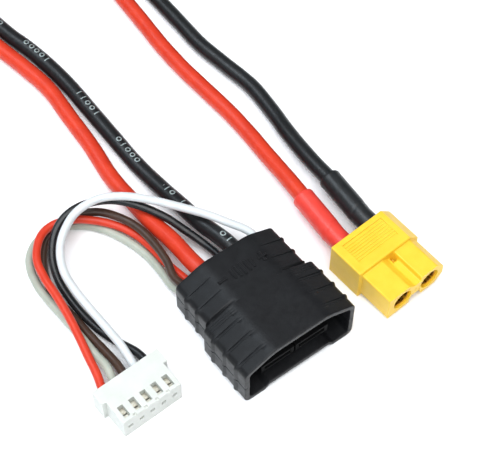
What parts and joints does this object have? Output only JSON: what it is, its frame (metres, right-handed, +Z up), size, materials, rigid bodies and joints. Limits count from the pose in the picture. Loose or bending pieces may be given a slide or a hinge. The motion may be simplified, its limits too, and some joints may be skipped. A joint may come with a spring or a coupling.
{
  "type": "balance charging adapter lead",
  "caption": "Shrouded battery plug wired by two heavy leads to a bullet connector and by thin leads to a balance connector, for charging a drone battery.",
  "frame": {"origin": "centre of the underside of the shrouded plug, on the surface it lies on", "axes": "+Z up, the plug's mouth faces -Y and its leads leave along +Y, +X towards the bullet connector"},
  "size_m": [0.0702, 0.1659, 0.0132],
  "materials": {
    "shell_black": "satin moulded nylon with a fine grain",
    "carrier_black": "matt moulded nylon",
    "contact_brass": "bright stamped brass",
    "pin_gold": "thin gold plating",
    "copper_strand": "stranded copper",
    "solder": "bright solder",
    "silicone_red": "satin silicone",
    "silicone_black": "satin silicone",
    "silicone_grey": "satin silicone",
    "silicone_brown": "satin silicone",
    "silicone_white": "satin silicone",
    "shrink_red": "heat-shrunk tube",
    "shrink_black": "heat-shrunk tube",
    "housing_yellow": "satin moulded nylon",
    "socket_gold": "gold-plated brass",
    "housing_white": "natural nylon",
    "terminal_tin": "tin-plated bronze"
  },
  "bodies": {
    "root": {"plug_upper_shell": "shell_black", "plug_lower_shell": "shell_black", "contact_carrier": "carrier_black", "wire_comb": "carrier_black", "power_blade_positive": "contact_brass", "power_blade_negative": "contact_brass", "blade_sleeve_positive": "shrink_red", "blade_sleeve_negative": "shrink_black", "plug_core_positive": "copper_strand", "plug_core_negative": "copper_strand", "balance_cores_plug": "copper_strand", "lead_positive": "silicone_red", "lead_negative": "silicone_black", "balance_lead_red": "silicone_red", "balance_lead_grey": "silicone_grey", "balance_lead_brown": "silicone_brown", "balance_lead_white": "silicone_white", "balance_lead_black": "silicone_black", "bullet_housing": "housing_yellow", "bullet_socket_positive": "socket_gold", "bullet_socket_negative": "socket_gold", "bullet_core_positive": "copper_strand", "bullet_core_negative": "copper_strand", "bullet_solder_positive": "solder", "bullet_solder_negative": "solder", "bullet_sleeve_positive": "shrink_red", "bullet_sleeve_negative": "shrink_black", "balance_housing": "housing_white", "balance_cores_housing": "copper_strand", "balance_pin_red": "pin_gold", "balance_pin_grey": "pin_gold", "balance_pin_brown": "pin_gold", "balance_pin_white": "pin_gold", "balance_pin_black": "pin_gold", "balance_terminal_1": "terminal_tin", "balance_terminal_2": "terminal_tin", "balance_terminal_3": "terminal_tin", "balance_terminal_4": "terminal_tin", "balance_terminal_5": "terminal_tin"}
  },
  "joints": []
}
